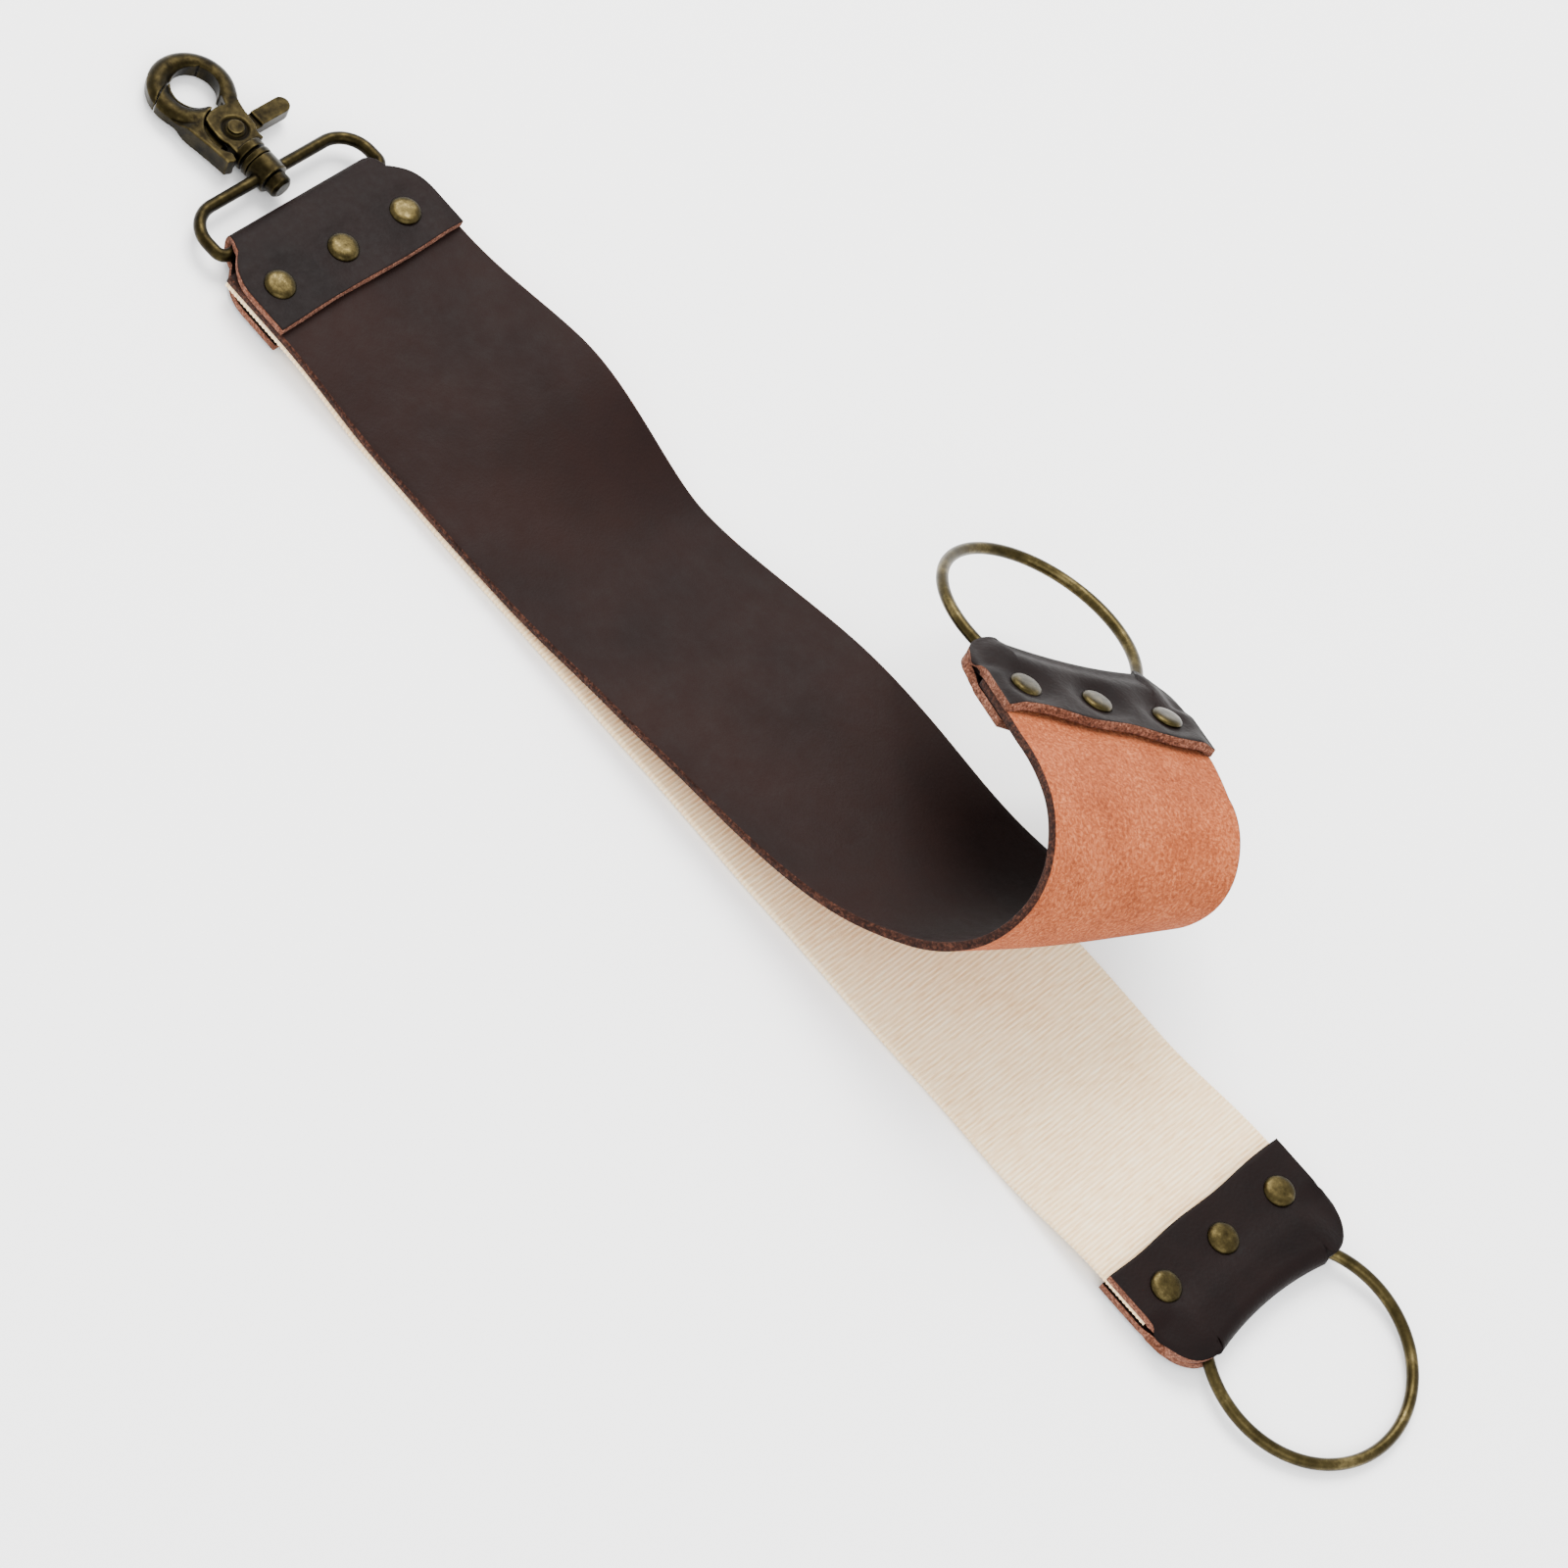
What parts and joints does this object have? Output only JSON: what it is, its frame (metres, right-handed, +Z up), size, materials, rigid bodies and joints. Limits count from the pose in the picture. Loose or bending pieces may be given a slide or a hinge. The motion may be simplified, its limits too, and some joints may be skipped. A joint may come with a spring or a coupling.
{
  "type": "hanging strop",
  "caption": "Hanging strop for edge tools: a leather strap curled over a canvas strap, riveted head and tail tabs, grip rings, swivel loop and trigger snap.",
  "frame": {"origin": "centre of the whole strop's footprint, on the surface that it lies on", "axes": "+X along the straps from the snap towards the canvas strap's grip ring, +Y across the straps towards the side that the curled end leans to, +Z up"},
  "size_m": [0.436, 0.116, 0.0663],
  "materials": {
    "tab_leather": "semi-gloss dark brown grain leather with pinkish tan cut edges",
    "strap_leather": "dark brown grain side, orange tan suede flesh side",
    "canvas": "undyed ribbed cotton canvas webbing",
    "antique_brass": "antique plated, dark in the hollows and rubbed bright on the high spots",
    "spring_steel": "drawn wire"
  },
  "bodies": {
    "head": {"head_tab": "tab_leather", "head_rivet_studs": "antique_brass", "head_rivet_caps": "antique_brass", "leather_strap_root": "strap_leather", "canvas_strap": "canvas", "canvas_tail_tab": "tab_leather", "canvas_tail_rivet_studs": "antique_brass", "canvas_tail_rivet_caps": "antique_brass"},
    "leather_leaf": {"leather_strap": "strap_leather", "leather_tail_tab": "tab_leather", "leather_tail_rivet_studs": "antique_brass", "leather_tail_rivet_caps": "antique_brass"},
    "leather_ring": {"leather_tail_ring": "antique_brass"},
    "canvas_ring": {"canvas_tail_ring": "antique_brass"},
    "loop": {"swivel_loop": "antique_brass"},
    "snap": {"swivel_rivet": "antique_brass", "snap_body": "antique_brass", "snap_pivot_pin": "antique_brass", "snap_spring": "spring_steel"},
    "gate": {"snap_gate": "antique_brass"}
  },
  "joints": [
    {"name": "leather_lift", "type": "hinge", "parent": "head", "child": "leather_leaf", "pos_m": [-0.14032, -0.02796, 0.0067], "axis": [0, -1, 0], "range_deg": [0, 90]},
    {"name": "leather_ring_turn", "type": "hinge", "parent": "leather_leaf", "child": "leather_ring", "pos_m": [0.02293, 0.03202, 0.03214], "axis": [0.1249, -0.3841, -0.9148], "continuous": true},
    {"name": "canvas_ring_turn", "type": "hinge", "parent": "head", "child": "canvas_ring", "pos_m": [0.19004, -0.02796, 0.00324], "axis": [0.0636, 0, 0.998], "continuous": true},
    {"name": "loop_swing", "type": "hinge", "parent": "head", "child": "loop", "pos_m": [-0.16592, -0.02796, 0.0056], "axis": [0, 1, 0], "range_deg": [-75, 80]},
    {"name": "snap_swivel", "type": "hinge", "parent": "loop", "child": "snap", "pos_m": [-0.1789, -0.02796, 0.00487], "axis": [0.9984, 0, 0.0558], "continuous": true},
    {"name": "gate_open", "type": "hinge", "parent": "snap", "child": "gate", "pos_m": [-0.19198, -0.02746, 0.00414], "axis": [0.0558, 0, -0.9984], "range_deg": [0, 25], "stiffness_Nm_per_rad": 0.05, "springref_deg": -20.05}
  ]
}
